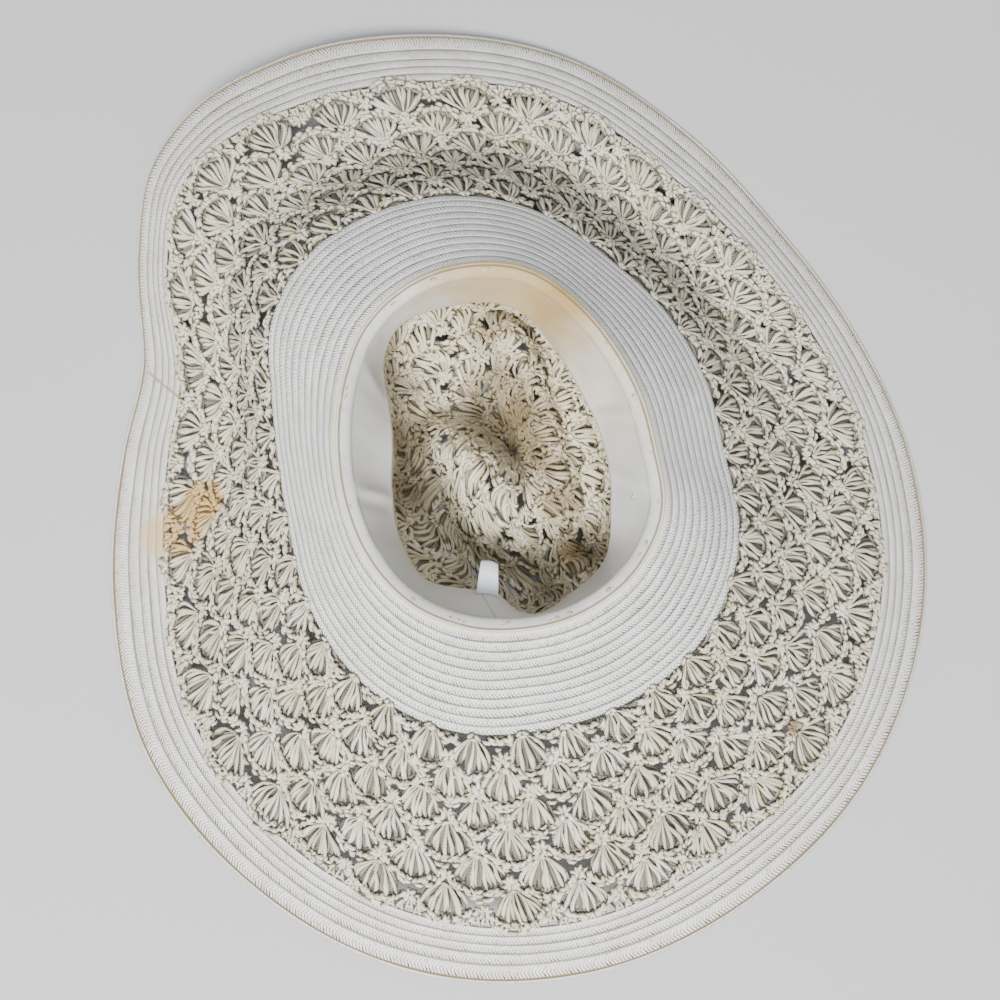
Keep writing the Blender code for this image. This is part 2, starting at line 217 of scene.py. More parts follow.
# The crown: reach and height by the profile from the tip at 0 to the rim at 1, the tip
# moved to its place and the folds added below the sweatband
def crownRaw(way, bearing):
    reach = np.clip(smoothThrough(crownProfile["way"], crownProfile["reach"], way), 0, 1)
    height = smoothThrough(crownProfile["way"], crownProfile["height"], way) * hat["openingHeight"]
    lean = np.minimum(
        aroundTable(wallLean, "crown", bearing), aroundTable(wallLean, "band", bearing)
    )
    point = polarPoint(reach * (wallRadius(bearing, height, lean) - crownInset), bearing, height)
    point[..., 0] += (1 - reach) * crownTip[0] * hat["openingWidth"] / 2
    point[..., 1] += (1 - reach) * crownTip[1] * hat["openingLength"] / 2
    free = np.clip(1 - height / (hat["openingHeight"] - band["width"]), 0, 1)
    point[..., 2] += free * foldLift(point[..., 0], point[..., 1])
    point[..., 2] = np.maximum(point[..., 2], hat["crownWall"] / 2)
    return point


# The sweatband: the leaning wall, set in by the crown's wall and its own clearance
def bandRaw(up, bearing):
    lean = aroundTable(wallLean, "band", bearing)
    drop = band["width"] * np.sqrt(1 - lean ** 2)
    height = hat["openingHeight"] - drop * (1 - up)
    return polarPoint(wallRadius(bearing, height, lean) - bandInset, bearing, height)


def unit(vectors):
    return vectors / np.maximum(np.linalg.norm(vectors, axis=-1, keepdims=True), 1e-12)


# Unit normal of a surface, from the cross product of its two small steps
def normalOf(surface, along, bearing):
    step = 1e-4
    across = surface(along + step, bearing) - surface(along - step, bearing)
    aroundIt = surface(along, bearing + 0.05) - surface(along, bearing - 0.05)
    return unit(np.cross(across, aroundIt))


# The CAD model is centred on the edge braid's box, so the same shift is worked out here
# from the same grid of 72 bearings and four lines
def outlineMiddle():
    first = hat["ringWidth"] + hat["crochetWidth"]
    lines = np.linspace(first + hat["seamGap"], first + hat["edgeWidth"], 4)
    along, bearing = np.meshgrid(lines, np.arange(72) * 5.0, indexing="ij")
    surface = partial(brimRaw, wall=hat["edgeWall"])
    proud = normalOf(surface, along, bearing) * hat["edgeWall"] / 2
    point = surface(along, bearing)
    point = np.concatenate([point + proud, point - proud])
    low = point.min(axis=(0, 1))
    high = point.max(axis=(0, 1))
    return (low + high) / 2 * (1, 1, 0), high - low


hatMiddle, outlineSize = outlineMiddle()
print("outline in mm:", np.round(outlineSize * 1e3, 2))


# A surface moved to where the CAD model has it
def inPlace(raw, **more):
    return lambda first, second: raw(first, second, **more) - hatMiddle


brimSurface = inPlace(brimRaw)
edgeSurface = inPlace(brimRaw, wall=hat["edgeWall"])
crownSurface = inPlace(crownRaw)
bandSurface = inPlace(bandRaw)


# Even table read between its nodes: the four nearest values weighted by nearness
def readTable(table, row, column):
    row = np.clip(row, 0, table.shape[0] - 1.001)
    column = np.clip(column, 0, table.shape[1] - 1.001)
    low = row.astype(int)
    left = column.astype(int)
    down = row - low
    right = column - left
    return (
        table[low, left] * (1 - down) * (1 - right) + table[low + 1, left] * down * (1 - right)
        + table[low, left + 1] * (1 - down) * right + table[low + 1, left + 1] * down * right
    )


# For each row of points: the value at each even share of the row's own length, and that
# length in metres
def evenShares(points, values):
    step = np.linalg.norm(np.diff(points, axis=1), axis=-1)
    length = np.concatenate([np.zeros((len(points), 1)), np.cumsum(step, axis=1)], axis=1)
    even = np.linspace(0, 1, len(values))
    return np.stack([np.interp(even, line / line[-1], values) for line in length]), length[:, -1]


# A net is a surface with even shares: share 0 to 1 once round, and metres outward along
# the cloth. place() turns both into the surface's own two numbers.
class Net:
    def __init__(self, surface, start, reach, lines, toWay=lambda out, bearing: out):
        self.surface = surface
        self.toWay = toWay
        self.start = start
        self.reach = reach
        self.lines = lines
        bearing = np.linspace(0, 360, 721)
        grid = np.meshgrid(np.linspace(start, start + reach, lines), bearing, indexing="ij")
        self.table, self.length = evenShares(self.pointAt(*grid), bearing)

    def pointAt(self, out, bearing):
        return self.surface(self.toWay(out, bearing), bearing)

    def row(self, out):
        return np.clip((out - self.start) / self.reach, 0, 1) * (self.lines - 1)

    def roundLength(self, out):
        return np.interp(self.row(out), range(self.lines), self.length)

    def place(self, share, out):
        turns = np.floor(share)
        columns = self.table.shape[1] - 1
        bearing = readTable(self.table, self.row(out), (share - turns) * columns) + 360 * turns
        return self.toWay(out, bearing), bearing


# Crown only: metres outward along the cloth turned into the profile's way, from the
# length of the wall, folds and all, at every second bearing
crownSteps = np.linspace(0.004, 1, 241)
crownGrid = np.meshgrid(crownSteps, np.linspace(0, 360, 181))
crownWays, crownLengths = evenShares(crownSurface(*crownGrid), crownSteps)
crownReach = crownLengths.mean()


def crownToWay(out, bearing):
    steps = out / crownReach * (crownWays.shape[1] - 1)
    return readTable(crownWays.T, steps, np.mod(bearing, 360.0) / 360 * (len(crownWays) - 1))


brimNet = Net(brimSurface, 0.0, hat["ringWidth"] + hat["crochetWidth"] + hat["edgeWidth"], 43)
crownNet = Net(crownSurface, 0.0, crownReach, 61, crownToWay)
print("nets ready, crown is", round(crownReach * 1e3), "mm from tip to rim")


def flat(parts, kind=np.float32):
    return np.concatenate([part.reshape(-1) for part in parts]).astype(kind)


# Object at the origin, in the scene
def addObject(name, data):
    made = bpy.data.objects.new(name, data)
    bpy.context.scene.collection.objects.link(made)
    return made


# Mesh object from lists of arrays, shaded smooth. The last axis of a faces array holds its
# corners. The colour attribute strand has a strand's tone in red and, in green, the painted shade of where
# it lies deep.
def meshObject(name, points, faces, uvs, material, tones=()):
    mesh = bpy.data.meshes.new(name)
    corners = flat(faces, np.int32)
    sizes = flat([np.full(part.shape[:-1], part.shape[-1]) for part in faces], np.int32)
    mesh.vertices.add(sum(part.size for part in points) // 3)
    mesh.vertices.foreach_set("co", flat(points))
    mesh.loops.add(len(corners))
    mesh.loops.foreach_set("vertex_index", corners)
    mesh.polygons.add(len(sizes))
    mesh.polygons.foreach_set("loop_start", (np.cumsum(sizes) - sizes).astype(np.int32))
    mesh.update(calc_edges=True)
    mesh.uv_layers.new(name="cloth").data.foreach_set("uv", flat(uvs))
    if tones:
        mesh.attributes.new("strand", "FLOAT_COLOR", "POINT").data.foreach_set("color", flat(tones))
    mesh.shade_smooth()
    mesh.materials.append(material)
    print(name, "has", int((sizes - 2).sum()), "triangles")
    return addObject(name, mesh)


# One mesh from groups of closed tubes: points by strand, ring and side. A side wall joins
# ring to ring and a flat cap closes each end.
def meshOfTubes(name, net, groups, material):
    points, faces, uvs, tones = [], [], [], []
    first = 0
    for group in groups:
        group = tubesOnNet(net, group)
        points.append(group["points"])
        number = first + np.arange(group["deep"].size).reshape(group["deep"].shape)
        first += number.size
        after = np.roll(number, -1, axis=2)
        faces.append(np.stack([number[:, :-1], number[:, 1:], after[:, 1:], after[:, :-1]], axis=-1))
        faces.append(np.stack([number[:, 0], number[:, -1, ::-1]], axis=1))
        sides = number.shape[2]
        across = np.broadcast_to(np.arange(sides) / sides, number.shape)
        run = np.broadcast_to(group["run"][:, :, None], number.shape)
        uv = np.stack([across, run], axis=-1)
        uvAfter = np.stack([across + 1 / sides, run], axis=-1)
        uvs.append(np.stack([uv[:, :-1], uv[:, 1:], uvAfter[:, 1:], uvAfter[:, :-1]], axis=3))
        uvs.append(np.stack([uv[:, 0], uv[:, -1]], axis=1))
        tone = np.broadcast_to(group["tone"][:, None, None], number.shape)
        tones.append(np.stack([tone, group["deep"], tone * 0, tone * 0 + 1], axis=-1))
    return meshObject(name, points, faces, uvs, material, tones)


# Tubes along paths on a net: centre = surface + normal * lift, and each ring is centre +
# side * wide * cos + up * thick * sin, with side = path x normal. The lowest are pressed
# flat on the floor. A front strand gets painted shade underneath, a back one painted shade
# on its upper side, where the strands over it would shade it.
def tubesOnNet(net, group):
    sides = group["sides"]
    way, bearing = net.place(group["share"], group["out"])
    normal = normalOf(net.surface, way, bearing)
    centre = net.surface(way, bearing) + normal * group["lift"][..., None]
    path = unit(np.gradient(centre, axis=1))
    side = unit(np.cross(path, normal))
    up = np.cross(side, path)
    turn = 2 * np.pi * np.arange(sides) / sides + np.pi / 2
    wide = (group["wide"][..., None] * np.cos(turn))[..., None]
    thick = (group["thick"][..., None] * np.sin(turn))[..., None]
    points = centre[:, :, None] + side[:, :, None] * wide + up[:, :, None] * thick
    points[..., 2] = np.maximum(points[..., 2], hat["offFloor"])
    step = np.linalg.norm(np.diff(centre, axis=1), axis=-1)
    run = np.concatenate([np.zeros((len(step), 1)), np.cumsum(step, axis=1)], axis=1) * 100
    # painted shade: front strands darker on their lower sides, back strands on their upper sides
    deep = group["deep"][..., None]
    front = np.clip(deep + 0.9 * np.clip(0.72 - np.sin(turn), 0, 1), 0, 1)
    deep = np.where(deep > 0.9, np.clip(np.sin(turn) + 0.4, 0, 1), front)
    return {"points": points, "run": run, "tone": group["tone"], "deep": deep}


# Yarn crochet: rounds of fans. A fan is drawn flat, in metres from its foot, as complex
# numbers: the real part to the side and the imaginary part outward. Then it is laid on
# the net. A lift is above the net's surface.
crochet = {
    "fansRound": 36,
    "rounds": 6,
    "roundPitch": 0.0186,
    "firstFoot": 0.0010,  # outside the ring's seam
    "petalReach": 0.0208,  # foot to petal end in the middle of a fan
    "sideReach": 0.0138,  # the same at its two sides
    "spread": 0.39,  # petal ends, as a share of the fan's pitch
    "petalPitch": 0.0032,  # between petal ends
    "petalWidth": 0.0027,
    "petalThickness": 0.0022,
    "petalArch": 0.0013,  # lift in the middle
    "loopWidth": 0.0026,
    "loopArch": 0.0005,
    "backWidth": 0.0036,
    "backThickness": 0.00124,
    "backLift": -0.0006,
    "contourWidth": 0.0038,
    "untidy": 0.0012,
    "hemStitches": 270,
    "hemShort": 0.0030,
    "hemDeeper": 0.0040,  # more in the valleys between fans
}


# Quadratic curve: start, bend and end weighted by (1-s)^2, 2s(1-s) and s^2
def bendPath(start, bend, end, s):
    return start * (1 - s) ** 2 + 2 * bend * s * (1 - s) + end * s ** 2


# Plump strand: its width is 0.4 at both ends and 1 where s to the power is a half
def plump(s, power=1.0):
    return 0.40 + 0.60 * np.sin(np.pi * np.clip(s, 0, 1) ** power)


def pathSteps(rings):
    return np.linspace(0, 1, rings)[None, None, :]


# Chance amount about zero for each strand, the same all along it
def loose(spread, shape):
    return chance.normal(0, spread, shape)[..., None]


# Fans' own sizes and places: share round the net, foot, pitch, lean and size of each
def fanPlaces(net, foot, count, offset, middle=0.010):
    pitch = net.roundLength(foot + middle) / count
    many = np.arange(count)
    return {
        "share": (many + offset + chance.normal(0, 0.02, count)) / count,
        "foot": foot + chance.normal(0, 0.0006, count),
        "pitch": pitch * (1 + chance.normal(0, 0.03, count)),
        "lean": chance.normal(0, 0.08, count),
        "size": 1 + chance.normal(0, 0.04, count),
        "tone": chance.normal(0, 0.08, count),
        "lift": chance.normal(0, 0.00025, count),
        "girth": 1.0,  # of its strands
    }


# Flat fan drawing to net places: turned by the fan's lean, scaled by its size, and the
# way sideways divided by the net's length round at that distance out
def layOnNet(net, fans, drawn, lift, wide, thick, tone, deep, sides=4):
    count, strands, rings = drawn.shape
    turned = drawn * (np.exp(-1j * fans["lean"]) * fans["size"])[:, None, None]
    out = fans["foot"][:, None, None] + turned.imag
    group = {
        "share": fans["share"][:, None, None] + turned.real / net.roundLength(out),
        "out": out,
        "lift": lift + fans["lift"][:, None, None],
        "wide": wide * fans["girth"],
        "thick": thick * fans["girth"],
        "deep": deep,
    }
    group = {key: np.broadcast_to(value, drawn.shape).reshape(-1, rings) for key, value in group.items()}
    tone = np.broadcast_to(tone + fans["tone"][:, None], (count, strands)).reshape(-1)
    return group | {"tone": tone, "sides": sides}


# Ends of a fan's petals and the turn of each: sideways evenly over the spread, outward on a
# rounded contour, and further out by more
def petalEnds(fans, place, more=0.0):
    half = crochet["spread"] * fans["pitch"][:, None]
    rise = crochet["petalReach"] - crochet["sideReach"]
    contour = crochet["sideReach"] + rise * np.cos(np.clip(1.5 * place, -3, 3))
    end = half * (place - 0.06 * place ** 3) + 1j * contour
    return end + 1j * more * np.exp(-1j * place), place + 0 * half


# Petals: plump strands from the fan's foot, bowed out sideways, each at its own height,
# over wide flat strands, painted in shade on their upper side, that lie behind the gaps
# between them
def petalStrands(net, fans, petals):
    place = np.linspace(-1, 1, petals)[None, :]
    shape = (len(fans["share"]), petals)
    end = petalEnds(fans, place + chance.normal(0, 0.05, shape))[0][..., None]
    end = end + loose(crochet["untidy"], shape) + 1j * loose(crochet["untidy"] * 1.6, shape)
    place = place[..., None]
    s = pathSteps(7)
    bend = end.real * 0.80 + loose(0.0013, shape) + 1j * end.imag * (0.50 - 0.18 * np.abs(place))
    drawn = bendPath(0.0018 * place, bend, end, s) + loose(0.0007, shape) * np.sin(2 * np.pi * s)
    high = loose(0.0006, shape) + loose(0.0008, shape) * (s - 0.5)
    lift = 0.0003 + crochet["petalArch"] * np.sin(np.pi * s ** 0.8) + high * np.sin(np.pi * s)
    tear = 0.42 + 0.58 * np.sin(np.pi * s ** 1.9)
    wide = crochet["petalWidth"] / 2 * tear * (1 + loose(0.10, shape))
    tone = chance.normal(0.5, 0.19, shape)
    # painted shade at each petal's foot and tip
    deep = 0.30 * (1 - s) ** 2 + 0.45 * s ** 8
    front = layOnNet(net, fans, drawn, lift, wide, crochet["petalThickness"] / 2 * tear, tone, deep, 5)
    place = np.linspace(-0.95, 0.95, petals - 1)[None, :]
    end = petalEnds(fans, place)[0][..., None]
    place = place[..., None]
    s = pathSteps(4)
    bend = end.real * 0.78 + 1j * end.imag * (0.50 - 0.18 * np.abs(place))
    wide = crochet["backWidth"] / 2 * plump(s, 1.3)
    thick = crochet["backThickness"] / 2 * plump(s)
    tone = chance.normal(0.45, 0.12, (shape[0], petals - 1))
    drawn = bendPath(0.0008 * place, bend, end, s)
    # the back strands take painted shade all along their upper side
    return [front, layOnNet(net, fans, drawn, crochet["backLift"], wide, thick, tone, 1.0)]


# Loops along the contour: arches over the petals' ends, two more rows outside them, and
# short knots that lie at all angles. Under them two wide strands, painted in shade on their
# upper side, follow the contour.
loopRows = asTable("widest extra span rise outward wild lift", [
    # widest place, loops more than 0.85 of the petals, half span, rise, outward, wildness, lift; mm
    (1.14, 1, 2.5, 1.9, -0.2, 0.15, 1.0),
    (1.24, 1, 2.7, 0.9, 2.2, 0.22, 0.8),
    (0.96, -1, 2.7, 0.9, 4.4, 0.30, 0.6),
    (1.05, -2, 2.2, 0.6, 1.1, 0.80, 1.4),
])


def loopStrands(net, fans, petals, within=2.0):
    groups = []
    count = len(fans["share"])
    for row in loopRows:
        s = pathSteps(5 if row["rise"] > 1.5 else 4)
        place = np.linspace(-row["widest"], row["widest"], round(0.85 * petals) + int(row["extra"]))
        place = place[np.abs(place) < within]
        shape = (count, len(place))
        at = place[None, :] + chance.normal(0, 0.06, shape)
        middle, turn = petalEnds(fans, at, row["outward"] * 1e-3 + chance.normal(0, 0.0006, shape))
        middle = middle[..., None]
        across = np.exp(-1j * (turn[..., None] * 1.15 + loose(row["wild"], shape)))
        span = across * row["span"] * 1e-3 * (1 + loose(0.16, shape))
        rise = 2j * across * row["rise"] * 1e-3 * (1 + loose(0.25, shape))
        drawn = bendPath(middle - span, middle + rise, middle + span, s)
        tilt = loose(0.0008, shape) * (s - 0.5) + loose(0.0003, shape)
        lift = row["lift"] * 1e-3 + crochet["loopArch"] * np.sin(np.pi * s) + tilt
        wide = crochet["loopWidth"] / 2 * (0.62 + 0.38 * np.sin(np.pi * s))
        wide = wide * (1 + loose(0.12, shape))
        tone = chance.normal(0.55, 0.17, shape)
        # painted shade at both ends of each loop, where it tucks under
        deep = 0.70 * np.abs(2 * s - 1) ** 5
        groups.append(layOnNet(net, fans, drawn, lift, wide, wide * 0.85, tone, deep, 5))
    reach = min(1.18, within)
    wide = crochet["contourWidth"] / 2 * plump(pathSteps(7)) ** 0.3
    # the contour strands take painted shade along their upper side
    for outward in (0.0004, 0.0034):
        drawn = petalEnds(fans, np.linspace(-reach, reach, 7)[None, :], outward)[0][:, None]
        tone = chance.normal(0.45, 0.1, (count, 1))
        groups.append(layOnNet(net, fans, drawn, -0.0005, wide, 0.0007, tone, 1.0))
    return groups


# Foot of a fan: a star where loops meet, two legs in an upturned V over a small hole, four
# arms and a collar over the petals' feet. Each row is a curve's start, bend and end in
# millimetres, drawn like the fan, then its lift at both ends and in the middle.
footStrands = np.array([
    (-0.3 - 6.2j, -1.6 - 3.6j, -3.4 - 0.6j, 0.7, 1.4),
    (0.3 - 6.2j, 1.6 - 3.6j, 3.4 - 0.6j, 0.7, 1.4),
    (0.2 - 6.0j, -2.6 - 5.6j, -5.2 - 7.4j, 0.7, 1.1),
    (-0.2 - 6.0j, 2.6 - 5.6j, 5.2 - 7.4j, 0.7, 1.1),
    (-6.0j, -1.4 - 7.6j, -1.8 - 9.6j, 0.7, 1.2),
    (-6.0j, 1.4 - 7.6j, 1.8 - 9.6j, 0.7, 1.2),
    (-2.0 + 0.8j, -1.2j, 2.0 + 0.8j, 0.4, 1.3),
])


def footGroup(net, fans, rows, squeeze=1.0):
    table = footStrands[rows].T[:, None, :, None]
    shape = (len(fans["share"]), len(rows))
    s = pathSteps(5)
    wild = chance.normal(0, 0.35, (3, 2, *shape, 1))
    knots = table[:3].real + wild[:, 0] + 1j * (table[:3].imag * squeeze + wild[:, 1])
    swell = np.sin(np.pi * s)
    lift = (table[3].real * (1 - swell) + table[4].real * swell) * 1e-3
    wide = crochet["petalWidth"] / 2 * plump(s) ** 0.6
    tone = chance.normal(0.55, 0.15, shape)
    # painted shade at both ends of each strand
    deep = 0.60 * np.abs(2 * s - 1) ** 5
    return layOnNet(net, fans, bendPath(*knots, s) * 1e-3, lift, wide, wide * 0.85, tone, deep)


# Number of petals: one more than the spread holds petal pitches, between six and ten
def petalCount(fans):
    between = 2 * crochet["spread"] * fans["pitch"].mean() / (crochet["petalPitch"] * fans["girth"])
    return int(np.clip(round(between) + 1, 6, 10))


# One round of brim fans, every second round set half a fan on. The first laps the ring's
# last row, with loops from under the ring between its feet.
def brimRound(net, name, number, material):
    foot = hat["ringWidth"] + crochet["firstFoot"] + number * crochet["roundPitch"]
    fans = fanPlaces(net, foot, crochet["fansRound"], 0.5 * (number % 2))
    petals = petalCount(fans)
    groups = petalStrands(net, fans, petals) + loopStrands(net, fans, petals)
    if number == 0:
        groups.append(footGroup(net, fans, [0, 1, 6], 0.45))
        between = fanPlaces(net, foot - crochet["roundPitch"], crochet["fansRound"], 0.5)
        between["lift"] = between["lift"] - 0.0008
        groups += loopStrands(net, between, petals, 0.62)
    else:
        groups.append(footGroup(net, fans, list(range(7))))
    return meshOfTubes(name, net, groups, material)


# Short stitches between the last fans and the edge braid, longer in the valleys between
# fans: two legs and a loop for each, over one wide strand along the seam, painted in shade on its upper side
def hemRow(net, name, material):
    count = crochet["hemStitches"]
    fans = fanPlaces(net, hat["ringWidth"] + hat["crochetWidth"] - 0.0006, count, 0.5, 0.0)
    phase = np.mod(fans["share"] * crochet["fansRound"] - 0.5 * ((crochet["rounds"] - 1) % 2), 1)
    valley = (0.5 - 0.5 * np.cos(2 * np.pi * phase)) ** 1.5
    tall = 1j * (crochet["hemShort"] + crochet["hemDeeper"] * valley)[:, None, None]
    half = fans["pitch"][:, None, None] * 0.5
    s = pathSteps(4)
    legs = np.array([-1.0, 1.0])[None, :, None]
    wild = loose(0.0004, (count, 2))
    start = legs * 0.0003 - tall + (1 + 1j) * wild
    drawn = bendPath(start, legs * half * 0.45 - tall * 0.45, legs * half * 0.80 + wild + 0.0008j, s)
    wide = crochet["petalWidth"] / 2 * 0.9 * plump(s)
    lift = 0.0002 + 0.0009 * np.sin(np.pi * s)
    tone = chance.normal(0.5, 0.15, (count, 2))
    groups = [layOnNet(net, fans, drawn, lift, wide, wide * 0.9, tone, 0.05)]
    drawn = bendPath(-half * 0.9 - 0.0010j, -0.0034j, half * 0.9 - 0.0010j, s)
    tone = chance.normal(0.55, 0.15, (count, 1))
    groups.append(layOnNet(net, fans, drawn, lift + 0.0003, wide, wide * 0.9, tone, 0.05))
    drawn = bendPath(-half * 1.1, 0, half * 1.1, s) - 0.0012j
    tone = chance.normal(0.45, 0.1, (count, 1))
    # the wide seam strand takes painted shade along its upper side
    groups.append(layOnNet(net, fans, drawn, crochet["backLift"], 0.0018, 0.0006, tone, 1.0))
    last = hat["ringWidth"] + crochet["firstFoot"] + crochet["rounds"] * crochet["roundPitch"]
    stars = fanPlaces(net, last, crochet["fansRound"], 0.5 * (crochet["rounds"] % 2))
    groups.append(footGroup(net, stars, list(range(6))))
    return meshOfTubes(name, net, groups, material)


# sRGB hex colour to linear: c/12.92 below 0.04045, else ((c + 0.055)/1.055)^2.4
def colour(code):
    parts = np.array([int(code[i:i + 2], 16) for i in (0, 2, 4)]) / 255
    linear = np.where(parts <= 0.04045, parts / 12.92, ((parts + 0.055) / 1.055) ** 2.4)
    return (*linear.tolist(), 1.0)


# One node: settings are its own values, or the name of its operation. Sockets are named,
# or given in order, and each is set or linked into. It returns the output asked for.
def addNode(tree, kind, settings=None, sockets=(), out=0):
    made = tree.nodes.new("ShaderNode" + kind)
    if isinstance(settings, str):
        settings = {"operation": settings}
    for key, value in (settings or {}).items():
        setattr(made, key, value)
    if not isinstance(sockets, dict):
        sockets = dict(enumerate(sockets))
    for key, value in sockets.items():
        if isinstance(value, bpy.types.NodeSocket):
            tree.links.new(value, made.inputs[key])
        else:
            made.inputs[key].default_value = value
    return made.outputs[out]


# Settings of the node that goes smoothly from 0 to 1 while a value goes from low to high
fade = {"interpolation_type": "SMOOTHSTEP"}


# A cloth material, its own node function, and the place on the object and in the UV map.
# Fixed shader values are set on the shader's own sockets.
def clothMaterial(name, rough, sheen):
    made = bpy.data.materials.new(name)
    made.use_nodes = True
    add = partial(addNode, made.node_tree)
    shader = made.node_tree.nodes["Principled BSDF"]
    for socket, value in (
        ("Roughness", rough), ("Sheen Weight", sheen), ("Sheen Roughness", 0.5), ("Specular IOR Level", 0.3),
    ):
        shader.inputs[socket].default_value = value
    return made, add, add("TexCoord", out="Object"), add("UVMap", {"uv_map": "cloth"})


# Colours laid over each other, from the first tint up. A layer is a share from 0 to 1, or
# the value, low and high that fade to one, then its strength and its tint. The result and
# a bump of the given height and depth go to the shader.
def finishCloth(made, add, tint, layers, height, depth, strength):
    base = colour(tint)
    for share, most, code in layers:
        if isinstance(share, tuple):
            share = add("MapRange", fade, share)
        share = add("Math", {"operation": "MULTIPLY", "use_clamp": True}, (share, most))
        base = add("Mix", {"data_type": "RGBA"}, {0: share, 6: base, 7: colour(code)}, 2)
    bump = add("Bump", None, {"Strength": strength, "Distance": depth, "Height": height})
    shader = made.node_tree.nodes["Principled BSDF"]
    made.node_tree.links.new(base, shader.inputs["Base Color"])
    made.node_tree.links.new(bump, shader.inputs["Normal"])


# Round blots about points of the object: 1 inside and 0 outside, the border broken by noise.
# Height counts for less than the other two ways, because a stain soaks down through folds.
def blots(add, place, stains, rough=0.6, grain=90.0):
    layers = []
    for middle, radius, soft, code, strength in stains:
        level = add("VectorMath", "MULTIPLY", (place, (1.0, 1.0, 0.3)))
        far = add("VectorMath", "DISTANCE", (level, (*middle[:2], middle[2] * 0.3)), "Value")
        noise = add("TexNoise", None, {"Vector": place, "Scale": grain, "Detail": 3.0})
        far = add("Math", "MULTIPLY_ADD", (noise, rough * radius, far))
        border = radius * (1 + rough / 2)
        layers.append(((far, border + soft, border - soft), strength, code))
    return layers


# Line: 1 where a value is near its middle, 0 from half a width away
def lineAt(add, value, middle, half, core):
    off = add("Math", "SUBTRACT", (value, middle))
    off = add("Math", "ABSOLUTE", (off,))
    return add("MapRange", fade, (off, half, core))


# Paper yarn, twisted: matt cream strands, some yellower, with dark painted shade where they
# lie deep. Grooves wind round each strand, drawn 2 mm apart so that they show, with painted
# shade in them.
def yarnMaterial(name, light, dark, yellow, shadeTint, stains):
    made, add, place, uv = clothMaterial(name, 0.82, 0.08)
    strand = add("Attribute", {"attribute_name": "strand"}, (), "Color")
    tone, deep = add("SeparateColor", None, (strand,)).node.outputs[:2]
    cloud = add("TexNoise", None, {"Vector": place, "Scale": 28.0, "Detail": 2.0})
    turn, run = add("SeparateXYZ", None, (uv,)).node.outputs[:2]
    twist = add("Math", "MULTIPLY_ADD", (run, 1.7, turn))
    twist = add("Math", "MULTIPLY", (twist, 3.0))
    groove = add("Math", "PINGPONG", (twist, 0.5))
    layers = [
        ((tone, 0.2, 0.8), 1.0, light),
        ((tone, 0.78, 0.95), 1.0, yellow),
        ((cloud, 0.45, 0.75), 0.35, yellow),
        # painted shade where a strand lies deep, by the strand attribute's green
        (deep, 0.88, shadeTint),
        *blots(add, place, stains),
        # painted shade in the twist grooves
        ((groove, 0.18, 0.0), 0.45, shadeTint),
    ]
    finishCloth(made, add, dark, layers, groove, 0.0005, 0.6)
    return made


# Flat braid sewn in rows: in the UV map, across counts stitches along a row and up counts
# rows. Herringbone strokes slant to a row's middle from both sides and are strongest near
# its outer edge, where some end in a small hole painted dark as shade. A grey line of
# painted shade lies in the crevice between the rows.
def braidMaterial(name, light, dark, inner=None, rim=None, stains=(), splice=None):
    made, add, place, uv = clothMaterial(name, 0.62, 0.15)
    stitch, row = add("SeparateXYZ", None, (uv,)).node.outputs[:2]
    part = add("Math", "FRACT", (row,))
    middle = add("Math", "SUBTRACT", (part, 0.58))
    middle = add("Math", "ABSOLUTE", (middle,))
    slant = add("Math", "MULTIPLY_ADD", (middle, -2.4, stitch))
    slant = add("Math", "PINGPONG", (slant, 0.5))
    outer = add("MapRange", fade, (part, 0.30, 0.75))
    outer = add("Math", "MULTIPLY_ADD", (outer, 0.58, 0.42))
    stroke = add("MapRange", fade, (slant, 0.29, 0.07))
    for share in (outer, add("MapRange", fade, (part, 0.06, 0.14))):
        stroke = add("Math", "MULTIPLY", (stroke, share))
    crevice = add("Math", "PINGPONG", (row, 0.5))
    crevice = add("MapRange", fade, (crevice, 0.11, 0.02))
    whole = [add("Math", "FLOOR", (value,)) for value in (stitch, row)]
    whole = add("CombineXYZ", None, whole)
    luck = add("TexWhiteNoise", None, {"Vector": whole}, "Value")
    hole = stroke
    for value, low, high in ((luck, 0.74, 0.80), (part, 0.66, 0.82), (part, 0.99, 0.94)):
        share = add("MapRange", fade, (value, low, high))
        hole = add("Math", "MULTIPLY", (hole, share))
    cloud = add("TexNoise", None, {"Vector": place, "Scale": 60.0, "Detail": 4.0})
    speck = add("TexNoise", None, {"Vector": place, "Scale": 700.0, "Detail": 1.0})
    layers = [
        ((cloud, 0.35, 0.7), 1.0, light),
        (stroke, 0.95, "77736A"),
        # painted shade in the crevice between rows
        (crevice, 0.72, "524D43"),
        # painted shade inside the small stitch holes
        (hole, 1.8, "241F18"),
        ((speck, 0.55, 0.70), 0.55, "8B867C"),
    ]
    if inner:
        layers.append(((row, 0.55, 0.05), 1.0, inner))
    if rim:
        start = add("MapRange", fade, (row, rim["row"] - 0.10, rim["row"] - 0.03))
        end = add("MapRange", fade, (row, rim["row"] + 0.35, rim["row"] + 0.12))
        layers.append((add("Math", "MULTIPLY", (start, end)), 1.0, rim["tint"]))
    layers += blots(add, place, stains)
    if splice:
        across = add("VectorMath", "DOT_PRODUCT", (place, splice["across"]), "Value")
        line = lineAt(add, across, float(np.dot(splice["middle"], splice["across"])), 0.0011, 0.0005)
        near = blots(add, place, [(splice["middle"], 0.020, 0.004, None, None)], 0.1)[0][0]
        line = add("Math", "MULTIPLY", (line, add("MapRange", fade, near)))
        layers.append((line, 1.0, splice["tint"]))
    height = add("Math", "ADD", (stroke, crevice))
    height = add("Math", "SUBTRACT", (1.0, height))
    finishCloth(made, add, dark, layers, height, 0.0006, 0.55)
    return made


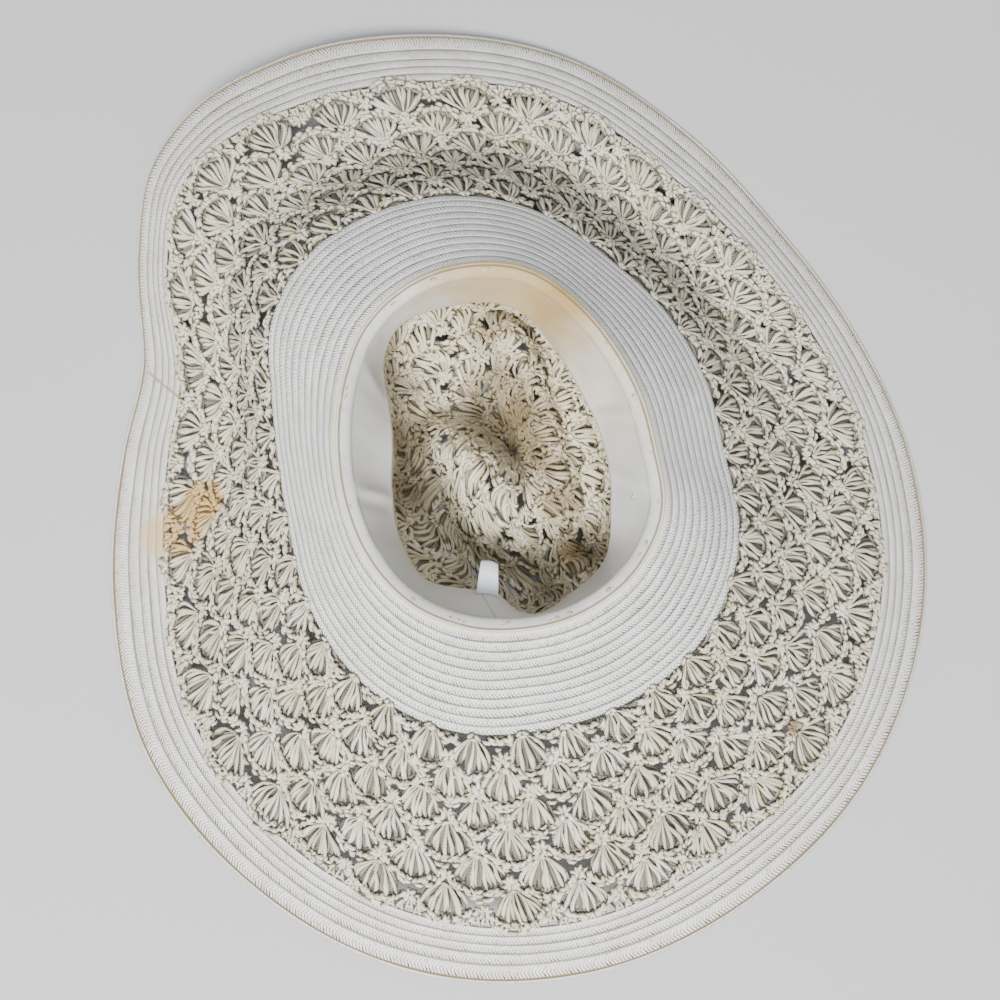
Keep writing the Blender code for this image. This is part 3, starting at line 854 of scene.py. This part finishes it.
# Cotton cloth, plain woven and worn: grey-white, a weave drawn 0.9 mm apart so that it
# shows, yellow and brown stains that a head leaves. A welt line runs round at its middle
# height, and is broken into stitches where it has a pitch.
def bandMaterial(name, light, dark, stains=(), welt=(), seam=None):
    made, add, place, uv = clothMaterial(name, 0.88, 0.2)
    along, up = add("SeparateXYZ", None, (uv,)).node.outputs[:2]
    cloud = add("TexNoise", None, {"Vector": place, "Scale": 22.0, "Detail": 5.0})
    layers = [((cloud, 0.35, 0.7), 1.0, light)]
    layers += blots(add, place, stains, 1.2, 60.0)
    for middle, half, pitch, filled, tint, strength in welt:
        mask = lineAt(add, up, middle, half, half * 0.4)
        if pitch:
            turn = add("Math", "DIVIDE", (along, pitch))
            turn = add("Math", "FRACT", (turn,))
            turn = add("MapRange", fade, (turn, filled, filled * 0.8))
            mask = add("Math", "MULTIPLY", (mask, turn))
        layers.append((mask, strength, tint))
    if seam:
        across = add("Math", "MULTIPLY_ADD", (up, -seam["slant"], along))
        line = lineAt(add, across, seam["place"], seam["half"], seam["half"] * 0.4)
        under = add("MapRange", fade, (up, seam["top"], seam["top"] - 0.001))
        layers.append((add("Math", "MULTIPLY", (line, under)), seam["strength"], seam["tint"]))
    weave = add("TexWave", {"bands_direction": "DIAGONAL"}, {"Vector": uv, "Scale": 350.0})
    finishCloth(made, add, dark, layers, weave, 0.0003, 0.25)
    return made


# Faces and UV map of a grid of points that closes on itself both ways. u goes round, v up.
def closedGrid(points, u, v):
    high, wide = points.shape[:2]
    number = np.arange(high * wide).reshape(high, wide)
    above = np.roll(number, -1, axis=0)
    faces = np.stack([number, above, np.roll(above, -1, axis=1), np.roll(number, -1, axis=1)], axis=-1)
    ends = ((u[:-1], v[:-1]), (u[:-1], v[1:]), (u[1:], v[1:]), (u[1:], v[:-1]))
    uv = np.stack([np.stack(np.meshgrid(a, b), axis=-1) for a, b in ends], axis=2)
    return number, faces, uv


# Sewn braid: rows that overlap like shingles, each with a raised inner edge
braid = {
    "ringRows": 11,
    "firstRow": 0.0056,  # the innermost row is wider
    "edgeRows": (0.0056, 0.0056, 0.0056, 0.0070, 0.0098, 0.0024),  # the last is the folded rim
    "stitch": 0.0018,  # the real 1.6 mm, a little coarser so that it shows
    "columns": 360,
    "waves": (5, 9, 14, 23),  # round the hat, for the rows' wandering and swelling
    "untidy": 0.00030,
    "swell": 0.00007,
    "lastTop": 0.15,  # mm, at the outermost edge
    "lastBelow": -0.4,
}

# Section of one row: share of its width, lift in millimetres on top and below
rowSection = asTable("share top below", [
    (0.00, 0.15, -0.45), (0.05, 0.58, -0.70), (0.14, 0.64, -0.85), (0.30, 0.60, -0.80),
    (0.50, 0.58, -0.75), (0.72, 0.55, -0.75), (0.94, 0.32, -0.55),
])


# Braid band: the row section repeated along the cloth and carried round; the surface is
# raised by the section's lift, and each row wanders by a few slow waves
def makeBraid(name, surface, lines, material):
    rows = len(lines) - 1
    index = np.repeat(np.arange(rows), len(rowSection))
    share, top, below = (np.tile(rowSection[key], rows) for key in ("share", "top", "below"))
    top = np.append(top, braid["lastTop"])[:, None] * 1e-3
    below = np.append(below, braid["lastBelow"])[:, None] * 1e-3
    low, high = lines[:-1][index], lines[1:][index]
    along = np.append(low + share * (high - low), lines[-1])[:, None]
    level = np.append(index + share, rows - 0.001)
    owner = np.append(index, rows)[:, None]
    turn = np.linspace(0, 360, braid["columns"] + 1)[None, :]
    wave = swell = 0
    for cycles in braid["waves"]:
        start = chance.uniform(0, 2 * np.pi, rows + 1)[owner]
        size = chance.normal(0, 1, rows + 1)[owner] / cycles ** 0.4
        wave = wave + size * np.sin(np.radians(turn) * cycles + start)
        swell = swell + size * np.cos(np.radians(turn) * cycles + start * 2)
    inside = np.clip(np.minimum(along - lines[0], lines[-1] - along) / 0.003, 0, 1)
    place = (along + wave * inside * braid["untidy"], turn + 0 * wave)
    normal = normalOf(surface, *place)
    centre = surface(*place)
    few = np.append(np.arange(0, len(along) - 1, 4), len(along) - 1)[::-1]
    faceUp = centre + normal * (top + swell * braid["swell"])[..., None]
    faceDown = (centre + normal * below[..., None])[few]
    points = np.concatenate([faceUp, faceDown])[:, :-1]
    points[..., 2] = np.maximum(points[..., 2], hat["offFloor"])
    girth = np.linalg.norm(np.diff(centre[len(along) // 2], axis=0), axis=-1).sum()
    stitches = np.linspace(0, 1, braid["columns"] + 1) * round(girth / braid["stitch"])
    faces, uv = closedGrid(points, stitches, np.concatenate([level, level[few], level[:1]]))[1:]
    return meshObject(name, [points], [faces], [uv], material)


# Closed thin sheet from a front and a back grid of the same size; where it goes all the
# way round its last column joins its first
def makeSheet(name, front, back, across, up, closedRound, material):
    high = len(front)
    points = np.concatenate([front, back[::-1]])
    across = np.append(across, across[-1] * 2 - across[-2])
    number, faces, uv = closedGrid(points, across, np.concatenate([up, up[::-1], up[:1]]))
    if closedRound:
        return meshObject(name, [points], [faces], [uv], material)
    faces, uvs = [faces[:, :-1]], [uv[:, :-1]]
    for column, order in ((0, (0, 1, 2, 3)), (-1, (3, 2, 1, 0))):
        lower, upper = number[:high, column], number[high:, column][::-1]
        side = np.stack([lower[:-1], upper[:-1], upper[1:], lower[1:]], axis=-1)
        faces.append(side[:, order])
        uvs.append(np.zeros(side.size * 2))
    return meshObject(name, [points], faces, uvs, material)


# Colours, and stains where the photo has them: middle, radius and soft border in metres,
# then tint and strength
brimStains = [
    ((-0.1913, -0.0046, 0.010), 0.013, 0.004, "C9A86A", 0.88),
    ((-0.2059, -0.0223, 0.009), 0.015, 0.005, "CCAC78", 0.85),
    ((0.158, -0.135, 0.045), 0.005, 0.004, "6B4A2E", 0.8),
]
edgeStains = [((-0.2185, -0.0260, 0.009), 0.014, 0.008, "D2B27C", 0.75)]
bandStains = [
    ((0.002, 0.118, 0.085), 0.052, 0.035, "B8984E", 0.78),
    ((0.030, 0.105, 0.085), 0.020, 0.016, "9C7430", 0.6),
    ((0.062, 0.060, 0.075), 0.030, 0.030, "D8C9A8", 0.5),
]
crownSoilAndShade = [
    # place in metres across and along, radius, strength; brown blots in the valleys, partly soil and partly
    # painted shade
    (-0.0107, 0.055, 0.022, 0.60), (0.004, 0.0373, 0.018, 0.68), (-0.065, 0.0314, 0.014, 0.60),
    (-0.0626, 0.0019, 0.014, 0.60), (0.0247, -0.004, 0.013, 0.85), (0.0335, -0.0335, 0.012, 0.85),
    (0.0158, 0.0196, 0.012, 0.75), (-0.0166, 0.0963, 0.012, 0.60),
]
soilAndShade = [((x, y, 0.025), radius, 0.008, "74603A", strength) for x, y, radius, strength in crownSoilAndShade]
rim = {"row": len(braid["edgeRows"]) - 1, "tint": "8F8062"}
splice = {"middle": (-0.2123, 0.0632, 0.02), "across": (0.6, 0.8, 0.0), "tint": "A89C86"}
weltStart = band["flat"] * band["width"]
weltLines = [
    # middle and half width up the cloth, pitch, share filled, tint and strength; the first line is painted
    # shade in the crease where the band turns into its roll
    (weltStart - 0.0004, 0.0008, None, None, "8E877A", 0.35),
    (weltStart + 0.0016, 0.0005, 0.0034, 0.55, "A79F90", 0.25),
    (weltStart + 0.0050, 0.0006, None, None, "6F5B40", 0.8),
    (weltStart + 0.0066, 0.0009, 0.0016, 0.45, "C9A75E", 0.6),
]
bandSeam = {  # where the band's ends join, beside the tag
    "place": 0.3815, "slant": 0.30, "half": 0.0007, "top": weltStart, "strength": 0.55, "tint": "8B877E",
}
yarn = yarnMaterial("twisted paper yarn, brim", "FAF4E4", "DED6C0", "E8D9B0", "2E2718", brimStains)
# the crown's brown blots are partly soil and partly painted shade in its valleys
yarnCrown = yarnMaterial("twisted paper yarn, crown", "FAF3DC", "E2D8BC", "E4D3A6", "5A4D32", soilAndShade)
ringBraid = braidMaterial("sewn flat braid, ring", "F4F6F5", "E6E8E7", "EBE0C0")
edgeBraid = braidMaterial("sewn flat braid, edge", "F4F3EE", "E8E6E0", None, rim, edgeStains, splice)
cotton = bandMaterial("plain woven cotton", "D6D6D4", "C8C8C6", bandStains, weltLines, bandSeam)
tape = bandMaterial("woven tape", "DCE0E8", "CDD2DC")
print("materials ready")


seamOut = hat["ringWidth"] + hat["crochetWidth"]
ringLines = np.concatenate([[0.0], np.linspace(braid["firstRow"], hat["ringWidth"], braid["ringRows"])])
edgeLines = seamOut + np.concatenate([[hat["seamGap"]], np.cumsum(braid["edgeRows"])])
ring = makeBraid("ring_braid_rows", brimSurface, ringLines, ringBraid)
edge = makeBraid("edge_braid_rows", edgeSurface, edgeLines, edgeBraid)
rounds = [
    brimRound(brimNet, f"crochet_round_{number + 1}", number, yarn) for number in range(crochet["rounds"])
]
rounds.append(hemRow(brimNet, "crochet_hem_row", yarn))

crownRows = {
    "rounds": 11, "innerRounds": 7, "fanPitch": 0.0268, "fewest": 5, "stopShort": 0.003, "girth": 1.06,
    "mostPetals": 7, "lastSize": 0.84, "middle": 0.012,
}


# Crown: rounds of fans from the tip outward, as many in each as its length holds
def crownFans(net, name, numbers, material):
    groups = []
    pitch = (net.reach - crownRows["stopShort"]) / crownRows["rounds"]
    for number in numbers:
        foot = pitch * number - 0.001 + 0.003 * (number == 0)
        length = net.roundLength(foot + crownRows["middle"])
        count = int(max(crownRows["fewest"], round(length / crownRows["fanPitch"])))
        fans = fanPlaces(net, foot, count, 0.5 * (number % 2), crownRows["middle"])
        if number == crownRows["rounds"] - 1:
            fans["size"] = fans["size"] * crownRows["lastSize"]
        fans["girth"] = crownRows["girth"]
        petals = min(petalCount(fans), crownRows["mostPetals"])
        groups += petalStrands(net, fans, petals) + loopStrands(net, fans, petals)
        if number:
            groups.append(footGroup(net, fans, list(range(7))))
    return meshOfTubes(name, net, groups, material)


inner, most = crownRows["innerRounds"], crownRows["rounds"]
crowns = [
    crownFans(crownNet, "crown_inner_rounds", range(inner), yarnCrown),
    crownFans(crownNet, "crown_outer_rounds", range(inner, most), yarnCrown),
]

cloth = {
    "columns": 260,
    "rows": 18,
    "thickness": 0.0008,
    "crease": 0.0007,
    "hem": 0.0003,  # fold along the lower edge
    "weltRows": 9,
    "weltHigh": 0.0016,
    "weltWidth": 0.0075,
    "reach": 0.0004,  # past the opening, on the ring's first row
    "rise": 0.0011,
}

# Soft folds across the band: bearing, half width in degrees, how far each stands in, mm
bandFolds = (
    (18, 2.4, 1.6), (23, 2.0, -1.0), (349, 2.6, 1.5), (343, 2.2, -1.0), (199, 2.4, 1.7), (204, 2.0, -0.9),
    (226, 3.0, 1.4), (246, 2.2, 1.2), (151, 2.6, 0.9), (60, 3.5, 1.0), (95, 3.0, 0.9), (318, 3.0, 1.1),
)


# Sweatband: the flat band with soft creases, then its top rolled out over the crown's rim
# to the ring's first row. Over the roll the height is a half sine.
def makeBand(name, material):
    bearing = np.arange(cloth["columns"]) * 360.0 / cloth["columns"]
    up = np.linspace(0, band["flat"], cloth["rows"])
    a, b = np.meshgrid(up, bearing, indexing="ij")
    turn = np.radians(b)
    crease = (
        np.sin(7 * turn + 2 * a) * 0.5 + np.sin(13 * turn - 3 * a + 1.0) * 0.35
        + np.sin(31 * turn + 4 * a) * 0.25 * a + np.sin(53 * turn + 0.7) * 0.18 * a ** 2
    )
    lift = cloth["crease"] * crease * np.sin(np.pi * np.clip(a * 1.05, 0, 1))
    lift += cloth["hem"] * np.exp(-((a - 0.06) / 0.03) ** 2)
    for place, wide, deep in bandFolds:
        away = np.mod(b - place + 8 * (a - 0.5) + 180, 360) - 180
        lift += deep * 1e-3 * np.exp(-(away / wide) ** 2) * np.sin(np.pi * np.clip(a, 0, 1)) ** 0.7
    low = bandSurface(a, b) + normalOf(bandSurface, a, b) * (band["wall"] / 2 + lift)[..., None]
    way = np.linspace(0, 1, cloth["weltRows"] + 1)[1:]
    w, c = np.meshgrid(way, bearing, indexing="ij")
    top = np.full_like(w, band["flat"])
    rim = bandSurface(top, c) + normalOf(bandSurface, top, c) * band["wall"] / 2
    height = np.full_like(c, hat["openingHeight"] + cloth["rise"])
    foot = polarPoint(openingRadius(c) + cloth["reach"], c, height) - hatMiddle
    pucker = 1 + 0.10 * np.sin(np.radians(c) * 61) + 0.06 * np.sin(np.radians(c) * 37 + 1)
    roll = rim + (foot - rim) * (0.5 - 0.5 * np.cos(np.pi * w))[..., None]
    roll[..., 2] += cloth["weltHigh"] * np.sin(np.pi * w) ** 0.8 * pucker + 0.0006 * w
    front = np.concatenate([low, roll])
    lines = np.concatenate([up * band["width"], band["flat"] * band["width"] + way * cloth["weltWidth"]])
    across = np.diff(np.concatenate([front, front[:, :1]], axis=1), axis=1)
    back = front - unit(np.cross(np.gradient(front, axis=0), across)) * cloth["thickness"]
    girth = np.linalg.norm(across, axis=-1).sum(axis=1).mean()
    piece = makeSheet(name, front, back, bearing / 360 * girth, lines, True, material)
    return piece, girth, lines[-1]


bandPiece, bandGirth, bandWidth = makeBand("sweatband_cloth", cotton)


# Size tag: runs from its root on the sweatband to its free end, arched, with a slight
# twist that grows towards the free end
def makeTag(name, material):
    edge = bandRaw(np.zeros(1), np.full(1, tag["bearing"]))[0]
    half = math.degrees(tag["width"] / 2 / math.hypot(edge[0], edge[1]))
    root, bearing = np.meshgrid(
        np.linspace(0, 1, 25), np.linspace(tag["bearing"] - half, tag["bearing"] + half, 17), indexing="ij"
    )
    height = bandRaw(np.full_like(bearing, tag["up"]), bearing)[..., 2]
    foot = bandRaw(np.full_like(bearing, tag["up"] - tag["wall"] / band["width"]), bearing)
    radius = np.hypot(foot[..., 0], foot[..., 1]) - band["wall"] / 2 - hat["seamGap"]
    arch = tag["arch"] * np.sin(math.pi * root) * (1 - root)
    side = (bearing - tag["bearing"]) / half
    arch = arch + 0.0006 * (1 - root) * side + 0.0004 * side ** 2 * (1 - root)
    middle = polarPoint(radius - tag["length"] * (1 - root), bearing, height + arch) - hatMiddle
    half = unit(np.cross(np.gradient(middle, axis=0), np.gradient(middle, axis=1))) * tag["tape"] / 2
    across, up = np.linspace(0, tag["width"], 17), np.linspace(0, tag["length"], 25)
    return makeSheet(name, middle + half, middle - half, across, up, False, material)


tagPiece = makeTag("size_tag_tape", tape)
for pieces, node, slot in (
    ([ring], "inner_braid", "sewn_braid"), ([edge], "edge_braid", "sewn_braid"),
    (rounds, "crochet_brim", "crochet"), (crowns, "crown", "crochet"),
    ([bandPiece], "sweatband", "sweatband_cloth"), ([tagPiece], "size_tag", "tag_cloth"),
):
    for piece in pieces:
        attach(piece, "root")
        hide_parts(node)
print("hat ready")

# Plain pale floor, camera straight above as in the photo, and soft studio light
studio = {"cameraHeight": 0.622, "focalPixels": 1004.0, "cameraX": -0.01072, "cameraY": -0.00398}
floorMesh = bpy.data.meshes.new("studio_floor")
floorMesh.from_pydata([(-2, -2, 0), (2, -2, 0), (2, 2, 0), (-2, 2, 0)], [], [(0, 1, 2, 3)])
floorPaint = clothMaterial("pale matt paint", 0.95, 0.0)[0]
floorPaint.node_tree.nodes["Principled BSDF"].inputs["Base Color"].default_value = colour("BFC0C3")
floorMesh.materials.append(floorPaint)
floor = addObject("studio_floor", floorMesh)

lens = bpy.data.cameras.new("photo camera")
lens.sensor_width = 36.0
lens.lens = 36.0 * studio["focalPixels"] / 1000
lens.clip_start = 0.01
camera = addObject("photo camera", lens)
camera.location = (studio["cameraX"], studio["cameraY"], studio["cameraHeight"])
bpy.context.scene.camera = camera


# Area light that looks at the hat's middle from a bearing, a tilt off the vertical and a
# distance
def areaLight(name, bearing, tilt, distance, size, power, tint):
    lamp = bpy.data.lights.new(name, "AREA")
    lamp.shape = "DISK"
    lamp.size = size
    lamp.energy = power
    lamp.color = colour(tint)[:3]
    made = addObject(name, lamp)
    turn, lean = math.radians(bearing), math.radians(tilt)
    made.location = polarPoint(distance * math.sin(lean), bearing, distance * math.cos(lean))
    made.rotation_euler = (0.0, lean, turn)


areaLight("window light", 252.0, 33.0, 2.2, 1.0, 106.0, "FFFEFA")
areaLight("room fill", 40.0, 14.0, 2.4, 1.6, 20.0, "F2F5FA")
world = bpy.data.worlds.new("studio")
world.use_nodes = True
world.node_tree.nodes["Background"].inputs[0].default_value = colour("E9ECF0")
world.node_tree.nodes["Background"].inputs[1].default_value = 0.42
bpy.context.scene.world = world
print("camera and light ready")


def corners(box):
    return [[float(value) for value in corner] for corner in box]
